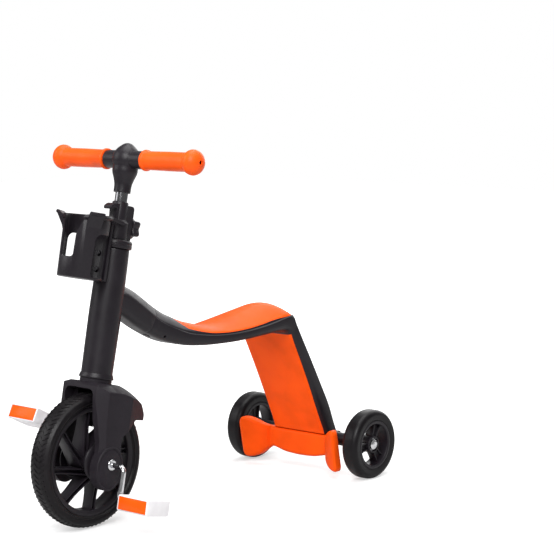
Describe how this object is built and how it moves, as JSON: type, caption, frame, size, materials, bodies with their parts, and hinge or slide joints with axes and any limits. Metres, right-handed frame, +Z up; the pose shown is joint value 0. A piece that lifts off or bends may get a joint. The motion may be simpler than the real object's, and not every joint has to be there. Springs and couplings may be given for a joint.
{
  "type": "convertible three-wheel kick scooter",
  "caption": "Child's three-wheel kick scooter that converts to a seated pedal trike by turning its rear frame over; steering column, cup holder and crank-driven front wheel.",
  "frame": {"origin": "point on the floor in the middle of the length and width of the whole scooter", "axes": "+Z up, -Y forward (the way it rides), +X to the rider's left"},
  "size_m": [0.318, 0.6798, 0.5679],
  "materials": {
    "charcoal": "charcoal moulded plastic, satin",
    "orange": "orange moulded plastic, semi-gloss",
    "grip": "soft orange grip rubber, matt",
    "tyre": "solid black tyre",
    "chrome": "bright plated steel",
    "steel": "plain steel",
    "black_steel": "blackened screw steel",
    "white": "white moulded plastic",
    "reflector": "orange clear reflector"
  },
  "bodies": {
    "column": {"column": "charcoal", "lower_bearing": "white", "upper_bearing": "white", "flip_spigot": "steel", "cup_holder": "charcoal", "cup_screw_1": "black_steel", "cup_screw_2": "black_steel"},
    "fork": {"fork": "charcoal", "steerer_tube": "steel", "headset_ring": "charcoal", "clamp_collar": "charcoal", "axle_bush_left": "white", "axle_bush_right": "white"},
    "knob": {"clamp_knob": "charcoal", "clamp_screw": "steel"},
    "handlebar": {"slider_tube": "steel", "stem_head": "charcoal", "handlebar_tube": "steel", "grip_left": "grip", "grip_right": "grip"},
    "front_wheel": {"front_tyre": "tyre", "front_rim": "charcoal", "hub_cap_left": "charcoal", "hub_cap_right": "charcoal", "crank_left": "chrome", "crank_right": "chrome", "crank_washer_left": "chrome", "crank_washer_right": "chrome"},
    "pedal_left": {"pedal_left": "white", "reflector_left_front": "reflector", "reflector_left_rear": "reflector"},
    "pedal_right": {"pedal_right": "white", "reflector_right_front": "reflector", "reflector_right_rear": "reflector"},
    "frame": {"frame_shell": "charcoal", "seat_panel": "orange", "leg_panel": "orange", "rear_cover": "orange", "rear_axle_beam": "charcoal", "rear_axle": "steel", "axle_nut_left": "chrome", "axle_nut_right": "chrome", "rear_spacer_left": "steel", "rear_spacer_right": "steel"},
    "lock": {"lock_pin": "charcoal"},
    "rear_wheel_left": {"rear_tyre_left": "tyre", "rear_rim_left": "charcoal", "rear_bearing_left": "steel"},
    "rear_wheel_right": {"rear_tyre_right": "tyre", "rear_rim_right": "charcoal", "rear_bearing_right": "steel"}
  },
  "joints": [
    {"name": "steering", "type": "hinge", "parent": "column", "child": "fork", "pos_m": [0, -0.24177, 0.10224], "axis": [0, 0.2164, 0.9763], "range_deg": [-45, 45]},
    {"name": "bar_height", "type": "slide", "parent": "fork", "child": "handlebar", "axis": [0, 0.2164, 0.9763], "range_m": [0, 0.1]},
    {"name": "clamp_turn", "type": "hinge", "parent": "fork", "child": "knob", "pos_m": [0, -0.14362, 0.44102], "axis": [0, 0.9763, -0.2164], "continuous": true},
    {"name": "front_wheel_spin", "type": "hinge", "parent": "fork", "child": "front_wheel", "pos_m": [0, -0.23845, 0.1015], "axis": [1, 0, 0], "continuous": true},
    {"name": "pedal_left_spin", "type": "hinge", "parent": "front_wheel", "child": "pedal_left", "pos_m": [0.129, -0.24876, 0.05462], "axis": [1, 0, 0], "continuous": true},
    {"name": "pedal_right_spin", "type": "hinge", "parent": "front_wheel", "child": "pedal_right", "pos_m": [-0.129, -0.22814, 0.14838], "axis": [1, 0, 0], "continuous": true},
    {"name": "frame_flip", "type": "hinge", "parent": "column", "child": "frame", "pos_m": [0, -0.13845, 0.3095], "axis": [0, 0.8579, -0.5137], "range_deg": [0, 180]},
    {"name": "lock_pull", "type": "slide", "parent": "frame", "child": "lock", "axis": [0, -0.5137, -0.8579], "range_m": [0, 0.0045], "stiffness_N_per_m": 400, "springref_m": -0.003},
    {"name": "rear_wheel_left_spin", "type": "hinge", "parent": "frame", "child": "rear_wheel_left", "pos_m": [0.1275, 0.28255, 0.0574], "axis": [1, 0, 0], "continuous": true},
    {"name": "rear_wheel_right_spin", "type": "hinge", "parent": "frame", "child": "rear_wheel_right", "pos_m": [-0.1275, 0.28255, 0.0574], "axis": [1, 0, 0], "continuous": true}
  ]
}
